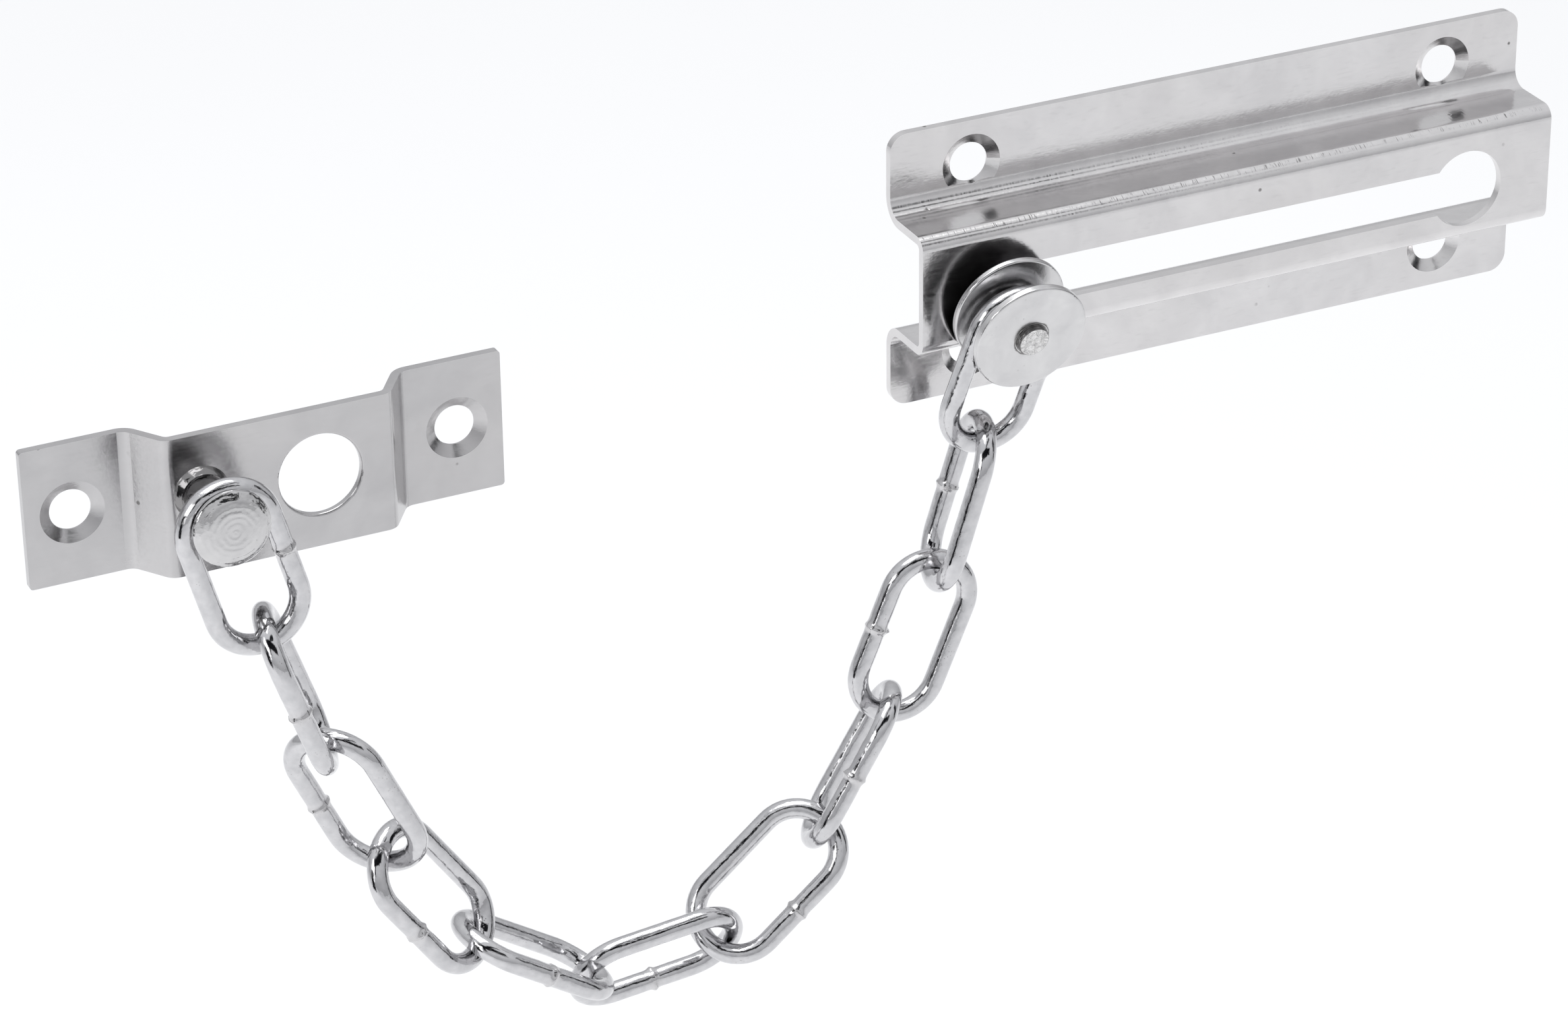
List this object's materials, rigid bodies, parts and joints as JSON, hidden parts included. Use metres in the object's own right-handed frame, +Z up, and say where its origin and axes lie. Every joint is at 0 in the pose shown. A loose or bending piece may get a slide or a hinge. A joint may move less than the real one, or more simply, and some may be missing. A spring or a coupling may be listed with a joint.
{
  "type": "door chain guard",
  "caption": "Door chain guard: slotted raised track plate, slider with two discs, welded link chain and a keeper plate with fixed stud and parking hole.",
  "frame": {"origin": "middle of the track plate's four screw holes, on its mounting plane", "axes": "+X along the track towards its keyhole end, +Y into the door, +Z up"},
  "size_m": [0.2245, 0.0224, 0.1179],
  "materials": {
    "plate_nickel": "satin nickel plated sheet steel",
    "stud_nickel": "semi bright nickel plate",
    "link_chrome": "bright plated wire"
  },
  "bodies": {
    "mounted_plates": {"track_plate": "plate_nickel", "keeper_plate": "plate_nickel", "anchor_stud": "stud_nickel"},
    "slider": {"slider_pin": "stud_nickel", "slider_inner_disc": "stud_nickel", "slider_outer_disc": "stud_nickel"},
    "link_01": {"chain_link_01": "link_chrome"},
    "link_02": {"chain_link_02": "link_chrome"},
    "link_03": {"chain_link_03": "link_chrome"},
    "link_04": {"chain_link_04": "link_chrome"},
    "link_05": {"chain_link_05": "link_chrome"},
    "link_06": {"chain_link_06": "link_chrome"},
    "link_07": {"chain_link_07": "link_chrome"},
    "link_08": {"chain_link_08": "link_chrome"},
    "link_09": {"chain_link_09": "link_chrome"},
    "link_10": {"chain_link_10": "link_chrome"},
    "link_11": {"chain_link_11": "link_chrome"}
  },
  "joints": [
    {"name": "slider_slide", "type": "slide", "parent": "mounted_plates", "child": "slider", "axis": [1, 0, 0], "range_m": [0, 0.0743]},
    {"name": "link_01_swing", "type": "hinge", "parent": "mounted_plates", "child": "link_01", "pos_m": [-0.1522, -0.0154, -0.0073], "axis": [0, -1, 0], "range_deg": [0, 38]},
    {"name": "link_02_swing", "type": "hinge", "parent": "link_01", "child": "link_02", "pos_m": [-0.14788, -0.01519, -0.02298], "axis": [0, -1, 0], "range_deg": [-2.35, 0]},
    {"name": "link_03_swing", "type": "hinge", "parent": "link_02", "child": "link_03", "pos_m": [-0.14056, -0.01497, -0.04446], "axis": [0, -1, 0], "range_deg": [-3.95, 0]},
    {"name": "link_04_swing", "type": "hinge", "parent": "link_03", "child": "link_04", "pos_m": [-0.13211, -0.01476, -0.06268], "axis": [0, -1, 0], "range_deg": [-5.95, 0]},
    {"name": "link_05_swing", "type": "hinge", "parent": "link_04", "child": "link_05", "pos_m": [-0.12116, -0.01455, -0.07845], "axis": [0, -1, 0], "range_deg": [-11.3, 0]},
    {"name": "link_11_swing", "type": "hinge", "parent": "slider", "child": "link_11", "pos_m": [-0.038, -0.01603, -0.0036], "axis": [0, -1, 0], "range_deg": [-36.6, 0]},
    {"name": "link_10_swing", "type": "hinge", "parent": "link_11", "child": "link_10", "pos_m": [-0.04213, -0.01327, -0.01928], "axis": [0, -1, 0], "range_deg": [0, 2.05]},
    {"name": "link_09_swing", "type": "hinge", "parent": "link_10", "child": "link_09", "pos_m": [-0.04938, -0.01348, -0.04155], "axis": [0, -1, 0], "range_deg": [0, 3.15]},
    {"name": "link_08_swing", "type": "hinge", "parent": "link_09", "child": "link_08", "pos_m": [-0.05643, -0.01369, -0.05793], "axis": [0, -1, 0], "range_deg": [0, 4.95]},
    {"name": "link_07_swing", "type": "hinge", "parent": "link_08", "child": "link_07", "pos_m": [-0.06834, -0.01391, -0.07683], "axis": [0, -1, 0], "range_deg": [0, 9.3]},
    {"name": "link_06_swing", "type": "hinge", "parent": "link_07", "child": "link_06", "pos_m": [-0.08398, -0.01412, -0.08955], "axis": [0, -1, 0], "range_deg": [0, 14.95]}
  ],
  "couplings": [
    {"joint": "link_01_swing", "follows": "slider_slide", "rad_per_m": 8.9233},
    {"joint": "link_02_swing", "follows": "slider_slide", "rad_per_m": -0.54337},
    {"joint": "link_03_swing", "follows": "slider_slide", "rad_per_m": -0.91533},
    {"joint": "link_04_swing", "follows": "slider_slide", "rad_per_m": -1.3909},
    {"joint": "link_05_swing", "follows": "slider_slide", "rad_per_m": -2.6492},
    {"joint": "link_11_swing", "follows": "slider_slide", "rad_per_m": -8.5945},
    {"joint": "link_10_swing", "follows": "slider_slide", "rad_per_m": 0.47034},
    {"joint": "link_09_swing", "follows": "slider_slide", "rad_per_m": 0.72869},
    {"joint": "link_08_swing", "follows": "slider_slide", "rad_per_m": 1.1576},
    {"joint": "link_07_swing", "follows": "slider_slide", "rad_per_m": 2.1756},
    {"joint": "link_06_swing", "follows": "slider_slide", "rad_per_m": 3.5068}
  ]
}
